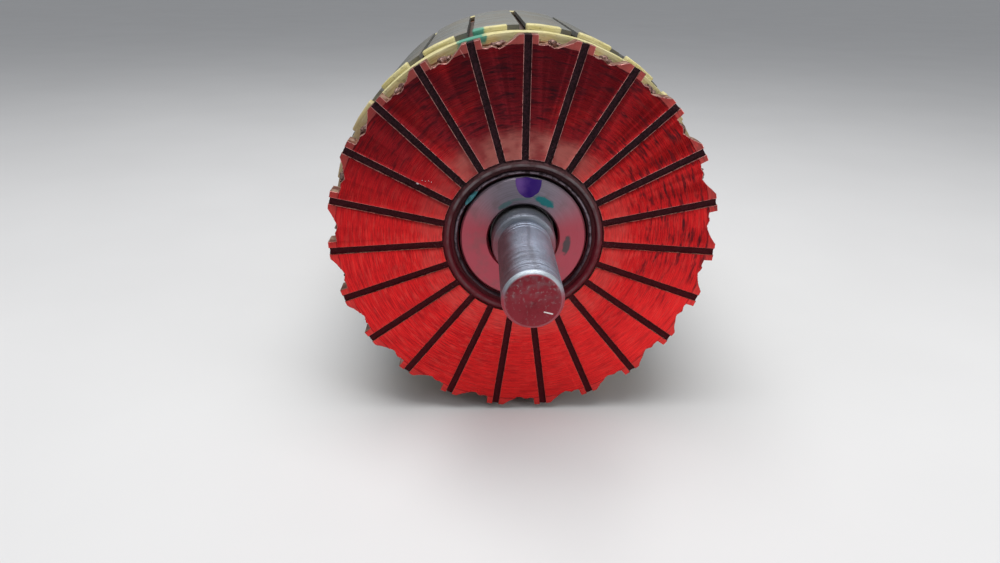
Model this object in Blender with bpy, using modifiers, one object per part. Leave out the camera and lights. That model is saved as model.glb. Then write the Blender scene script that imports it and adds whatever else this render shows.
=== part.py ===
# Starter motor rotor: a slotted core on a stepped shaft, with a flat face commutator.
# The shaft lies along world Y. Each piece is drawn in the rotor's own frame, whose origin is on the
# axis in the plane of the brush face: x to the right and y up as seen from the commutator end,
# and z along the shaft towards that end. Angles run clockwise from 12 o'clock as seen from there.
import math

import bmesh
import bpy
from mathutils import Vector

MM = 0.001

# Fits
seat_gap = 0.3 * MM

# Slots, bars and coils share one count and one pitch
slot_count = 23
pitch = 2 * math.pi / slot_count

# Core of stacked laminations
core_radius = 30.0 * MM
core_length = 43.0 * MM
core_setback = 13.5 * MM
slot_opening = 1.1 * MM
slot_corner = 0.5 * MM
tooth_tip = 0.7 * MM
tooth_shoulder = 0.5 * MM
facets_per_tooth = 3

# Insulating combs on both ends of the core: each finger starts just past a slot's centre line and
# stops well short of the next one; the front comb stands a little proud of the core
front_comb_proud = 0.3 * MM
rear_comb_drop = 0.3 * MM
comb_thickness = 2.4 * MM
comb_bore_share = 0.53
finger_start = 0.37 * MM
finger_stop = 2.5 * MM

# Commutator bars
commutator_inset = 0.4 * MM
bar_thickness = 3.2 * MM
groove_width = 1.05 * MM
notch_depth = 1.6 * MM
# Welding notch in a bar's rim: share of the pitch from the groove, share of the notch's depth
notch_outline = (
    (0.180, 0.00),
    (0.192, 0.78),
    (0.285, 0.84),
    (0.360, 0.74),
    (0.486, 1.00),
    (0.560, 0.90),
    (0.640, 0.68),
    (0.728, 0.45),
    (0.843, 0.00),
)

# Moulded hub of the commutator
channel_width = 1.3 * MM
channel_depth = 0.9 * MM
ridge_width = 0.6 * MM
ridge_height = 0.15 * MM
hub_edge_width = 0.7 * MM
hub_edge_drop = 0.5 * MM
hub_back_thickness = 3.0 * MM
hub_to_coil = 0.9 * MM
rib_recess = 0.3 * MM
rib_setback = 0.4 * MM
rib_root = 0.8 * MM

# Steel collar on the shaft, inside the moulded hub
collar_wall = 4.24 * MM
collar_length = 6.5 * MM
collar_drop = 0.3 * MM
collar_chamfer = 0.3 * MM

# Coils: hairpins of flat copper, one leg in the outer layer and one in the inner layer
copper_width = 2.3 * MM
copper_height = 3.4 * MM
layer_gap = 0.7 * MM
slot_liner = 0.4 * MM
slot_side_gap = 0.45 * MM
slot_floor_gap = 1.0 * MM
coil_span = 6
bend_radius = 1.5 * MM
bend_steps = 2
nose_steps = 4
weld_straight = 0.8 * MM
comb_straight = 1.2 * MM
rear_bend_length = 10.0 * MM
nose_straight = 1.1 * MM
route_step = math.radians(16)

# Bands over the coil ends
band_thickness = 0.8 * MM
front_band_width = 3.8 * MM
rear_band_width = 5.0 * MM

# Shaft, from the commutator end to the drive end
journal_radius = 4.0 * MM
journal_end = 22.5 * MM
journal_chamfer = 0.55 * MM
relief_start = 3.5 * MM
relief_width = 0.7 * MM
relief_depth = 0.2 * MM
shoulder_radius = 4.83 * MM
collar_clearance = 0.53 * MM
shoulder_round = 0.7 * MM
shoulder_depth = 2.5 * MM
core_seat_radius = 6.0 * MM
stop_radius = 7.4 * MM
stop_length = 8.0 * MM
stop_chamfer = 0.5 * MM
bearing_seat_radius = 6.0 * MM
bearing_seat_length = 16.0 * MM
neck_radius = 4.6 * MM
neck_length = 2.0 * MM
pilot_radius = 4.0 * MM
pilot_length = 7.0 * MM

# Sun gear teeth cut on the drive end
gear_teeth = 11
gear_module = 1.25 * MM
gear_width = 12.0 * MM
pressure_angle = math.radians(20)
dedendum_share = 1.25
flank_points = 4

shaft_sides = 36
ring_sides = 46

# Stations along the shaft, positive towards the commutator end
bar_back = -bar_thickness
core_front = -core_setback
core_back = core_front - core_length
front_comb_front = core_front + seat_gap + comb_thickness
rear_comb_back = core_back - seat_gap - comb_thickness
collar_front = -collar_drop
collar_back = collar_front - collar_length

# Radii that follow from the core, outside in
front_comb_radius = core_radius + front_comb_proud
rear_comb_radius = core_radius - rear_comb_drop
commutator_radius = core_radius - commutator_inset
slot_top_radius = core_radius - tooth_tip - tooth_shoulder
outer_layer_radius = slot_top_radius - slot_liner - copper_height / 2
inner_layer_radius = outer_layer_radius - copper_height - layer_gap
coil_bottom_radius = inner_layer_radius - copper_height / 2
slot_bottom_radius = coil_bottom_radius - slot_floor_gap
hub_back_radius = coil_bottom_radius - hub_to_coil
band_inner_radius = outer_layer_radius + copper_height / 2 + seat_gap
slot_width = copper_width + 2 * slot_side_gap

# Radii that follow from the shaft, inside out
collar_bore_radius = shoulder_radius + collar_clearance
collar_radius = collar_bore_radius + collar_wall
hub_bore_radius = collar_radius + seat_gap
ridge_inner_radius = hub_bore_radius + channel_width
ridge_outer_radius = ridge_inner_radius + ridge_width
hub_radius = ridge_outer_radius + hub_edge_width
bar_inner_radius = hub_radius + seat_gap
core_bore_radius = core_seat_radius + seat_gap
comb_bore_radius = comb_bore_share * slot_bottom_radius


def clear_scene():
    for item in list(bpy.data.objects):
        bpy.data.objects.remove(item, do_unlink=True)


def new_collection(name):
    collection = bpy.data.collections.new(name)
    bpy.context.scene.collection.children.link(collection)
    return collection


def principled(name, colour, roughness, metallic):
    material = bpy.data.materials.new(name)
    material.use_nodes = True
    shader = material.node_tree.nodes["Principled BSDF"]
    shader.inputs["Base Color"].default_value = (*colour, 1)
    shader.inputs["Roughness"].default_value = roughness
    shader.inputs["Metallic"].default_value = metallic
    return material


def polar(radius, angle):
    return Vector((radius * math.sin(angle), radius * math.cos(angle)))


def beside_ray(offset, radius, angle):
    """A point at this radius, set off clockwise from the ray at this angle."""
    along = math.sqrt(radius * radius - offset * offset)
    across = Vector((math.cos(angle), -math.sin(angle)))
    return polar(along, angle) + across * offset


def arc(radius, start, end, segments):
    """The points between two angles, without its two ends."""
    steps = range(1, segments)
    return [polar(radius, start + (end - start) * step / segments) for step in steps]


def circle(radius, sides):
    return [polar(radius, 2 * math.pi * side / sides) for side in range(sides)]


def add_object(name, mesh, material, collection, axis):
    item = bpy.data.objects.new(name, mesh)
    if material:
        mesh.materials.clear()
        mesh.materials.append(material)
    item.parent = axis
    collection.objects.link(item)
    return item


def plate_mesh(name, outlines, back, front):
    """A flat plate between two stations; the outlines after the first are holes in it."""
    curve = bpy.data.curves.new(name, "CURVE")
    curve.dimensions = "2D"
    curve.fill_mode = "BOTH"
    curve.extrude = (front - back) / 2
    for outline in outlines:
        spline = curve.splines.new("POLY")
        spline.points.add(len(outline) - 1)
        spline.use_cyclic_u = True
        for point, place in zip(spline.points, outline):
            point.co = (place.x, place.y, 0, 1)
    guide = bpy.data.objects.new(name, curve)
    bpy.context.scene.collection.objects.link(guide)
    graph = bpy.context.evaluated_depsgraph_get()
    mesh = bpy.data.meshes.new_from_object(guide.evaluated_get(graph))
    bpy.data.objects.remove(guide, do_unlink=True)
    bpy.data.curves.remove(curve)
    shape = bmesh.new()
    shape.from_mesh(mesh)
    bmesh.ops.remove_doubles(shape, verts=shape.verts, dist=seat_gap / 1000)
    bmesh.ops.translate(shape, verts=shape.verts, vec=(0, 0, (front + back) / 2))
    bmesh.ops.recalc_face_normals(shape, faces=shape.faces)
    shape.to_mesh(mesh)
    shape.free()
    mesh.name = name
    return mesh


def turned(name, profile, closed, sides, material, collection, axis):
    """A profile of (radius, station) pairs, top to bottom down its outer side, turned round z."""
    mesh = bpy.data.meshes.new(name)
    points = [(radius, 0, station) for radius, station in profile]
    edges = [(index, index + 1) for index in range(len(points) - 1)]
    if closed:
        edges.append((len(points) - 1, 0))
    mesh.from_pydata(points, edges, [])
    item = add_object(name, mesh, material, collection, axis)
    screw = item.modifiers.new("turn", "SCREW")
    screw.axis = "Z"
    screw.angle = 2 * math.pi
    screw.steps = sides
    screw.render_steps = sides
    screw.use_merge_vertices = True
    screw.merge_threshold = seat_gap / 100
    screw.use_smooth_shade = True
    return item


def unite(item, other):
    other.hide_render = True
    other.display_type = "WIRE"
    union = item.modifiers.new("join " + other.name, "BOOLEAN")
    union.operation = "UNION"
    union.solver = "EXACT"
    union.object = other


def bar_outline():
    """One commutator bar between the grooves at 12 o'clock and one pitch after it."""
    side = groove_width / 2
    outline = [beside_ray(side, bar_inner_radius, 0), beside_ray(side, commutator_radius, 0)]
    for share, depth in notch_outline:
        outline.append(polar(commutator_radius - depth * notch_depth, share * pitch))
    outline.append(beside_ray(-side, commutator_radius, pitch))
    outline.append(beside_ray(-side, bar_inner_radius, pitch))
    lean = math.asin(side / bar_inner_radius)
    outline += arc(bar_inner_radius, pitch - lean, lean, 3)
    return outline


def add_commutator_bars(collection, axis, copper):
    mesh = plate_mesh("commutator_bar", [bar_outline()], bar_back, 0)
    for number in range(slot_count):
        name = "commutator_bar_%02d" % (number + 1)
        bar = add_object(name, mesh, copper, collection, axis)
        bar.rotation_euler.z = -number * pitch


def spoked_outline(hub_radius, spoke_radius, width):
    side = width / 2
    outline = []
    for number in range(slot_count):
        angle = number * pitch
        outline.append(beside_ray(-side, hub_radius, angle))
        outline.append(beside_ray(-side, spoke_radius, angle))
        outline.append(beside_ray(side, spoke_radius, angle))
        outline.append(beside_ray(side, hub_radius, angle))
    return outline


def add_commutator_moulding(collection, cutters, axis, resin):
    hub_back_front = bar_back - seat_gap
    hub_back_rear = hub_back_front - hub_back_thickness
    profile = [
        (ridge_inner_radius, ridge_height),
        (ridge_outer_radius, ridge_height),
        ((ridge_outer_radius + hub_radius) / 2, ridge_height - hub_edge_drop / 2),
        (hub_radius, -hub_edge_drop),
        (hub_radius, hub_back_front),
        (hub_back_radius, hub_back_front),
        (hub_back_radius, hub_back_rear),
        (hub_bore_radius, hub_back_rear),
        (hub_bore_radius, -channel_depth),
        (ridge_inner_radius - ridge_height, -channel_depth),
    ]
    moulding = turned("commutator_moulding", profile, True, ring_sides, resin, collection, axis)
    rib_width = groove_width - 2 * seat_gap
    inside_hub = (ridge_outer_radius + hub_radius) / 2
    inside_ridge = circle((ridge_inner_radius + ridge_outer_radius) / 2, ring_sides)
    rim_outline = spoked_outline(inside_hub, commutator_radius - rib_setback, rib_width)
    root_outline = spoked_outline(inside_hub, hub_back_radius - rib_setback, rib_width)
    root_front = -rib_recess - rib_root
    root_back = hub_back_front - rib_root
    rim_ribs = plate_mesh("groove_ribs", [rim_outline, inside_ridge], bar_back, -rib_recess)
    root_ribs = plate_mesh("rib_roots", [root_outline, inside_ridge], root_back, root_front)
    unite(moulding, add_object("groove_ribs", rim_ribs, None, cutters, axis))
    unite(moulding, add_object("rib_roots", root_ribs, None, cutters, axis))


def add_front_collar(collection, axis, steel):
    profile = [
        (collar_bore_radius, collar_front),
        (collar_radius - collar_chamfer, collar_front),
        (collar_radius, collar_front - collar_chamfer),
        (collar_radius, collar_back),
        (collar_bore_radius, collar_back),
    ]
    turned("front_collar", profile, True, shaft_sides, steel, collection, axis)


def slot_wall(mouth, rim, tip):
    """One side of a slot, as offsets and radii from its mouth in the rim to its floor."""
    half = slot_width / 2
    floor = slot_bottom_radius
    return [
        (mouth, rim),
        (mouth, tip),
        (half, slot_top_radius),
        (half, floor + slot_corner),
        (half - slot_corner, floor),
    ]


def slot_outline(rim, before, after, corners):
    """Teeth with slots between them, from the slots' walls before and after their centre lines.

    The corners on a tooth's rim are angles from the centre line of the slot before it.
    """
    outline = []
    for number in range(slot_count):
        angle = number * pitch
        outline += [beside_ray(-offset, radius, angle) for offset, radius in before]
        outline += [beside_ray(offset, radius, angle) for offset, radius in reversed(after)]
        outline += [polar(rim, angle + corner) for corner in corners]
    return outline


def add_core(collection, axis, iron):
    wall = slot_wall(slot_opening / 2, core_radius, core_radius - tooth_tip)
    mouth = math.asin(wall[0][0] / core_radius)
    facet = (pitch - 2 * mouth) / facets_per_tooth
    corners = [mouth + step * facet for step in range(1, facets_per_tooth)]
    outline = slot_outline(core_radius, wall, wall, corners)
    bore = circle(core_bore_radius, shaft_sides)
    mesh = plate_mesh("core_laminations", [outline, bore], core_back, core_front)
    add_object("core_laminations", mesh, iron, collection, axis)


def add_comb(name, radius, back, front, collection, axis, insulation):
    before = slot_wall(finger_stop, radius, slot_top_radius)
    after = slot_wall(finger_start, radius, slot_top_radius)
    # One corner, placed so that the finger's long facet is centred on its tooth
    corner = math.asin(finger_stop / radius)
    outline = slot_outline(radius, before, after, [corner])
    bore = circle(comb_bore_radius, shaft_sides)
    mesh = plate_mesh(name, [outline, bore], back, front)
    add_object(name, mesh, insulation, collection, axis)


def add_band(name, front, width, collection, axis, insulation):
    outer = band_inner_radius + band_thickness
    profile = [
        (band_inner_radius, front),
        (outer, front),
        (outer, front - width),
        (band_inner_radius, front - width),
    ]
    turned(name, profile, True, ring_sides, insulation, collection, axis)


def rounded_route(corners, radius):
    """Points along straight runs in the unrolled slot surface, with an arc at each corner."""
    route = [corners[0]]
    for before, corner, after in zip(corners, corners[1:], corners[2:]):
        arriving = (corner - before).normalized()
        leaving = (after - corner).normalized()
        turn = arriving.angle_signed(leaving)
        setback = radius * math.tan(abs(turn) / 2)
        centre_side = Vector((arriving.y, -arriving.x)) * math.copysign(radius, turn)
        start = corner - arriving * setback
        centre = start + centre_side
        for step in range(bend_steps + 1):
            swung = -turn * step / bend_steps
            arm = start - centre
            cosine = math.cos(swung)
            sine = math.sin(swung)
            turned_arm = Vector((arm.x * cosine - arm.y * sine, arm.x * sine + arm.y * cosine))
            route.append(centre + turned_arm)
    route.append(corners[-1])
    return route


def on_slot_cylinder(route, radius):
    """Wrap an unrolled route round the axis, with extra points where it runs round far."""
    places = []
    for start, end in zip(route, route[1:]):
        count = max(1, math.ceil(abs(end.x - start.x) / radius / route_step))
        for step in range(count):
            spot = start.lerp(end, step / count)
            places.append((spot.x / radius, spot.y))
    places.append((route[-1].x / radius, route[-1].y))
    return places


def layer_leg(radius, slot_angle, weld_angle, nose_angle):
    """Angles and stations of one coil leg, from its weld behind a bar to the coil's nose."""
    weld = bar_back - seat_gap
    bend_end = front_comb_front + comb_straight
    rear_bend = rear_comb_back - comb_straight
    nose = rear_bend - rear_bend_length
    corners = [
        Vector((weld_angle * radius, weld)),
        Vector((weld_angle * radius, weld - weld_straight)),
        Vector((slot_angle * radius, bend_end)),
        Vector((slot_angle * radius, rear_bend)),
        Vector((nose_angle * radius, nose)),
        Vector((nose_angle * radius, nose - nose_straight)),
    ]
    return on_slot_cylinder(rounded_route(corners, bend_radius), radius)


def hairpin_stations():
    """Centres and outward directions of one coil's sections, starting in the 12 o'clock slot."""
    far_slot = coil_span * pitch
    nose_angle = far_slot / 2
    outer = layer_leg(outer_layer_radius, 0, pitch / 2, nose_angle)
    inner = layer_leg(inner_layer_radius, far_slot, far_slot - pitch / 2, nose_angle)
    stations = []
    for angle, station in outer:
        outward = polar(1, angle).to_3d()
        stations.append((outward * outer_layer_radius + Vector((0, 0, station)), outward))
    nose_outward = polar(1, nose_angle).to_3d()
    nose_radius = (outer_layer_radius - inner_layer_radius) / 2
    middle = nose_outward * (inner_layer_radius + nose_radius) + Vector((0, 0, outer[-1][1]))
    for step in range(1, nose_steps):
        swing = math.pi * step / nose_steps
        outward = nose_outward * math.cos(swing) - Vector((0, 0, math.sin(swing)))
        stations.append((middle + outward * nose_radius, outward))
    for angle, station in reversed(inner):
        outward = polar(1, angle).to_3d()
        stations.append((outward * inner_layer_radius + Vector((0, 0, station)), -outward))
    return stations


def hairpin_mesh():
    """A flat copper bar lofted through the coil's sections."""
    stations = hairpin_stations()
    shape = bmesh.new()
    rings = []
    for index, (centre, outward) in enumerate(stations):
        before = stations[max(index - 1, 0)][0]
        after = stations[min(index + 1, len(stations) - 1)][0]
        into = (centre - before).normalized() + (after - centre).normalized()
        across = into.cross(outward).normalized() * copper_width / 2
        rise = across.cross(into).normalized() * copper_height / 2
        corners = (across + rise, rise - across, -across - rise, across - rise)
        rings.append([shape.verts.new(centre + corner) for corner in corners])
    for ring, following in zip(rings, rings[1:]):
        for side in range(4):
            after = (side + 1) % 4
            shape.faces.new((ring[side], ring[after], following[after], following[side]))
    shape.faces.new(rings[0])
    shape.faces.new(rings[-1])
    bmesh.ops.recalc_face_normals(shape, faces=shape.faces)
    mesh = bpy.data.meshes.new("coil")
    shape.to_mesh(mesh)
    shape.free()
    return mesh


def add_coils(collection, axis, copper):
    mesh = hairpin_mesh()
    for number in range(slot_count):
        coil = add_object("coil_%02d" % (number + 1), mesh, copper, collection, axis)
        coil.rotation_euler.z = -number * pitch


def gear_outline():
    """Involute teeth: each flank rises straight from the root to the base circle, then curves."""
    pitch_radius = gear_teeth * gear_module / 2
    base_radius = pitch_radius * math.cos(pressure_angle)
    tip_radius = pitch_radius + gear_module
    root_radius = pitch_radius - dedendum_share * gear_module
    half_at_pitch = math.pi / 2 / gear_teeth
    rolled_to_pitch = math.tan(pressure_angle) - pressure_angle
    flank = []
    for step in range(flank_points):
        radius = base_radius + (tip_radius - base_radius) * step / (flank_points - 1)
        slope = math.acos(base_radius / radius)
        flank.append((radius, half_at_pitch + rolled_to_pitch - math.tan(slope) + slope))
    root_half = flank[0][1]
    flank.insert(0, (root_radius, root_half))
    outline = []
    for tooth in range(gear_teeth):
        middle = 2 * math.pi * tooth / gear_teeth
        outline += [polar(radius, middle - half) for radius, half in flank]
        outline += [polar(radius, middle + half) for radius, half in reversed(flank)]
    return outline


def add_shaft(collection, cutters, axis, steel):
    seat_radius = collar_bore_radius - seat_gap
    stop_front = core_back - seat_gap
    stop_back = stop_front - stop_length
    bearing_back = stop_back - bearing_seat_length
    gear_front = bearing_back - neck_length
    gear_back = gear_front - gear_width
    shaft_back = gear_back - pilot_length
    round_start = relief_start - relief_width
    profile = [
        (0, journal_end),
        (journal_radius - journal_chamfer, journal_end),
        (journal_radius, journal_end - journal_chamfer),
        (journal_radius, relief_start),
        (journal_radius - relief_depth, relief_start - relief_depth),
        (journal_radius - relief_depth, round_start),
        (shoulder_radius - shoulder_round, round_start),
        (shoulder_radius - shoulder_round * 0.3, round_start - shoulder_round * 0.3),
        (shoulder_radius, round_start - shoulder_round),
        (shoulder_radius, -shoulder_depth),
        (seat_radius, -shoulder_depth),
        (seat_radius, collar_back - seat_gap),
        (core_seat_radius, collar_back - seat_gap),
        (core_seat_radius, stop_front),
        (stop_radius, stop_front),
        (stop_radius, stop_back + stop_chamfer),
        (stop_radius - stop_chamfer, stop_back),
        (bearing_seat_radius, stop_back),
        (bearing_seat_radius, bearing_back),
        (neck_radius, bearing_back),
        (neck_radius, gear_back),
        (pilot_radius, gear_back),
        (pilot_radius, shaft_back + journal_chamfer),
        (pilot_radius - journal_chamfer, shaft_back),
        (0, shaft_back),
    ]
    shaft = turned("shaft", profile, False, shaft_sides, steel, collection, axis)
    gear = plate_mesh("sun_gear_teeth", [gear_outline()], gear_back, gear_front)
    unite(shaft, add_object("sun_gear_teeth", gear, None, cutters, axis))


def build():
    clear_scene()
    collection = new_collection("starter_motor_rotor")
    cutters = new_collection("joined_forms")
    axis = bpy.data.objects.new("rotor_axis", None)
    axis.location = (0, journal_end, 0)
    axis.rotation_euler = (math.radians(90), 0, 0)
    collection.objects.link(axis)

    copper = principled("copper_bar", (0.55, 0.22, 0.13), 0.35, 1.0)
    coil_copper = principled("coil_copper", (0.42, 0.16, 0.08), 0.45, 1.0)
    resin = principled("dark_resin", (0.035, 0.018, 0.016), 0.5, 0.0)
    steel = principled("shaft_steel", (0.55, 0.55, 0.56), 0.3, 1.0)
    collar_steel = principled("collar_steel", (0.42, 0.4, 0.42), 0.45, 1.0)
    iron = principled("core_iron", (0.3, 0.31, 0.31), 0.5, 0.9)
    insulation = principled("cream_insulation", (0.75, 0.68, 0.42), 0.6, 0.0)

    add_shaft(collection, cutters, axis, steel)
    add_front_collar(collection, axis, collar_steel)
    add_core(collection, axis, iron)
    comb_back = core_front + seat_gap
    add_comb("front_comb", front_comb_radius, comb_back, front_comb_front, collection, axis, insulation)
    comb_front = core_back - seat_gap
    add_comb("rear_comb", rear_comb_radius, rear_comb_back, comb_front, collection, axis, insulation)
    add_coils(collection, axis, coil_copper)
    front_band_front = front_comb_front + seat_gap + front_band_width
    rear_band_front = rear_comb_back - seat_gap
    add_band("front_band", front_band_front, front_band_width, collection, axis, insulation)
    add_band("rear_band", rear_band_front, rear_band_width, collection, axis, insulation)
    add_commutator_moulding(collection, cutters, axis, resin)
    add_commutator_bars(collection, axis, copper)


build()
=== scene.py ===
# Looks of a starter motor rotor with a face commutator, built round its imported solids.
# The shaft lies along y, and the brush face looks towards -y. Lengths here are in millimetres
# until a mesh is finished, and angles run clockwise from 12 o'clock as seen from the brush face.
import bpy
import bmesh
import math
import random
from mathutils import Matrix, Vector, noise


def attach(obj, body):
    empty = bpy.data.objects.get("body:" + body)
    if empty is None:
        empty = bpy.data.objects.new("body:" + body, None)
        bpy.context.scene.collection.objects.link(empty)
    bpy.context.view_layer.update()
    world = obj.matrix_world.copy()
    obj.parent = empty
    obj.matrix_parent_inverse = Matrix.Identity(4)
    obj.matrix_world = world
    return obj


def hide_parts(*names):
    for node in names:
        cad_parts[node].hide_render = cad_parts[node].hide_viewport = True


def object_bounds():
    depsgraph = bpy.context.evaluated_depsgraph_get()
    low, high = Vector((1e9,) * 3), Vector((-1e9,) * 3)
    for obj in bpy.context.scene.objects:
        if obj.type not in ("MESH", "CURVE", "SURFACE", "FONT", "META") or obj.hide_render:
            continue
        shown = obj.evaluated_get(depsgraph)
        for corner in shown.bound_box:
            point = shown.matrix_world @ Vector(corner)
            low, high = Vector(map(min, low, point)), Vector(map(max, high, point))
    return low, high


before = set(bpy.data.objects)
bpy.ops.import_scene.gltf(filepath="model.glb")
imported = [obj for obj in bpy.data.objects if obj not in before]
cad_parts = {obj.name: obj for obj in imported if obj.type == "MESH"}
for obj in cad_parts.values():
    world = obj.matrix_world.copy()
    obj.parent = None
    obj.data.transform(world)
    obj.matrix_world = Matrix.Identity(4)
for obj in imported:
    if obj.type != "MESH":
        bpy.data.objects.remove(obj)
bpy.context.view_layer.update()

mm = 0.001
noise.seed_set(1)  # noise_vector would differ from run to run without it

layout = {
    "slots": 23,
    "faceAt": 22.5,  # brush face
    "barBackAt": 25.7,
    "coreFrontAt": 36.0,
    "coreBackAt": 79.0,
    "coreRadius": 30.0,
    "floorAt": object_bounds()[0][2] / mm,
}
pitch = 2 * math.pi / layout["slots"]  # slots, bars and coils share it


# Shader maths: a wire is one socket, and maths on wires adds the Math nodes
class Wire:
    def __init__(self, tree, socket):
        self.tree = tree
        self.socket = socket

    def maths(self, operation, *others):
        node = self.tree.nodes.new("ShaderNodeMath")
        node.operation = operation
        for slot, value in zip(node.inputs, (self,) + others):
            connect(self.tree, slot, value)
        return Wire(self.tree, node.outputs[0])

    def __add__(self, other):
        return self.maths("ADD", other)

    def __sub__(self, other):
        return self.maths("SUBTRACT", other)

    def __rsub__(self, other):
        return self.maths("MULTIPLY", -1.0).maths("ADD", other)

    def __mul__(self, other):
        return self.maths("MULTIPLY", other)

    def __truediv__(self, other):
        return self.maths("DIVIDE", other)

    __radd__ = __add__
    __rmul__ = __mul__

    def between(self, low, high):  # 0 below low, 1 above high, smooth between
        node = self.tree.nodes.new("ShaderNodeMapRange")
        node.interpolation_type = "SMOOTHSTEP"
        connect(self.tree, node.inputs["Value"], self)
        node.inputs["From Min"].default_value = low
        node.inputs["From Max"].default_value = high
        return Wire(self.tree, node.outputs["Result"])

    def within(self, start, full, fade, end):  # 1 from full to fade, 0 before start and after end
        return self.between(start, full) * (1.0 - self.between(fade, end))


def connect(tree, socket, value):
    if isinstance(value, Wire):
        tree.links.new(value.socket, socket)
    else:
        socket.default_value = value


class Finish:
    def __init__(self, name, look, metallic=0.0, coat=0.0, specular=0.5):
        self.look = look
        self.material = bpy.data.materials.new(name)
        self.material.use_nodes = True
        self.tree = self.material.node_tree
        self.shader = self.tree.nodes["Principled BSDF"]
        self.set(Metallic=metallic, Coat_Weight=coat, Coat_Roughness=0.25,
                 Specular_IOR_Level=specular)
        objectPlace = self.node("ShaderNodeTexCoord", output="Object")
        self.place = self.vector("MULTIPLY", objectPlace, (1 / mm, 1 / mm, 1 / mm))
        self.x = self.node("ShaderNodeSeparateXYZ", {}, "X", Vector=self.place)
        self.y = self.node("ShaderNodeSeparateXYZ", {}, "Y", Vector=self.place)
        self.z = self.node("ShaderNodeSeparateXYZ", {}, "Z", Vector=self.place)
        self.radius = (self.x * self.x + self.z * self.z).maths("SQRT")

    def node(self, kind, settings=None, output=0, **inputs):
        node = self.tree.nodes.new(kind)
        for key, value in (settings or {}).items():
            setattr(node, key, value)
        for key, value in inputs.items():
            connect(self.tree, node.inputs[key.replace("_", " ")], value)
        return Wire(self.tree, node.outputs[output])

    def vector(self, operation, first, second):
        node = self.tree.nodes.new("ShaderNodeVectorMath")
        node.operation = operation
        connect(self.tree, node.inputs[0], first)
        connect(self.tree, node.inputs[1], second)
        return Wire(self.tree, node.outputs[0])

    def turn(self, seamAtTop=False):  # clockwise angle; the jump lies at the bottom or at the top
        if seamAtTop:
            return (self.x * -1.0).maths("ARCTAN2", self.z * -1.0)
        return self.x.maths("ARCTAN2", self.z)

    def upward(self, low, high, lean=0.0):  # 1 in a sector at the top, or leaning left of it
        up = self.z - lean * self.x if lean else self.z
        return (up / self.radius).between(low, high)

    def joined(self, x, y, z):
        return self.node("ShaderNodeCombineXYZ", X=x, Y=y, Z=z)

    def noise(self, scale, detail=3.0, vector=None, roughness=0.5):
        return self.node("ShaderNodeTexNoise", Vector=vector or self.place, Scale=scale,
                         Detail=detail, Roughness=roughness)

    def blend(self, factor, first, second):
        node = self.tree.nodes.new("ShaderNodeMix")
        node.data_type = "RGBA"
        connect(self.tree, node.inputs[0], factor)
        connect(self.tree, node.inputs[6], opaque(first))
        connect(self.tree, node.inputs[7], opaque(second))
        return Wire(self.tree, node.outputs[2])

    def streak(self, start, end, inner, outer):  # 1 near a line between two (x, z) points
        length = math.dist(start, end)
        aim = ((end[0] - start[0]) / length, (end[1] - start[1]) / length)
        dx = self.x - start[0]
        dz = self.z - start[1]
        along = dx * aim[0] + dz * aim[1]
        beyond = along - along.maths("MAXIMUM", 0.0).maths("MINIMUM", length)
        aside = dz * aim[0] - dx * aim[1]
        return 1.0 - (beyond * beyond + aside * aside).maths("SQRT").between(inner, outer)

    def ground(self, mask, key):  # two tones, mixed by a mask
        self.tone = self.blend(mask, *self.look[key])

    def lay(self, mask, key):  # a colour over the tone, by a mask and its amount
        colour, amount = self.look[key]
        self.tone = self.blend(mask * amount, self.tone, colour)

    def set(self, **values):
        for key, value in values.items():
            connect(self.tree, self.shader.inputs[key.replace("_", " ")], value)

    def done(self, roughness, relief=None, strength=0.0, depth=0.0, **values):
        self.set(Base_Color=self.tone, Roughness=roughness, **values)
        if relief is not None:
            self.set(Normal=self.node("ShaderNodeBump", Height=relief, Strength=strength,
                                      Distance=depth * mm))
        return self.material


def opaque(colour):
    return colour if isinstance(colour, Wire) else tuple(colour) + (1.0,)


# Finishes: first the two tones of the base, then what is laid over them, as colour and amount
copperLook = {
    # The copper's tones are painted deep red: copper with a painted reflection of a red cloth over
    # it
    "base": ((0.400, 0.011, 0.015), (0.860, 0.027, 0.027)),
    "flush": ((0.760, 0.085, 0.070), 0.32),  # pinker strokes
    "low": ((0.980, 0.036, 0.036), 0.47),  # painted reflection, brighter towards the bottom
    "worn": ((0.400, 0.011, 0.015), 0.30),
    "shade": ((0.300, 0.010, 0.016), 0.62),  # left of the top
    "paintedTopShade": ((0.110, 0.020, 0.032), 1.0),  # painted shade at the top
    "inner": ((0.600, 0.190, 0.160), 0.80),  # beside the hub
    "film": ((0.036, 0.013, 0.018), 0.88),  # left by the brushes, in streaks
    "step": ((0.036, 0.013, 0.018), 0.45),  # where the brushes' track ends
    "rim": ((0.520, 0.120, 0.105), 1.0),
    "scratch": ((0.80, 0.370, 0.345), 0.8),
    "scratchEnds": ((-9.31, 27.50), (-8.68, 26.53)),
    "trackStart": 14.6,  # where the brushes run on the face
    "trackEnd": 28.35,
    # edge tones: red below, pale towards the top as a painted highlight
    "burrAndTopHighlight": ((0.62, 0.095, 0.080), (0.80, 0.370, 0.345)),
    "burrPit": (0.17, 0.030, 0.028),
    "side": ((0.20, 0.060, 0.042), (0.42, 0.16, 0.11)),
    "flux": ((0.52, 0.42, 0.31), 0.62),
}


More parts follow.
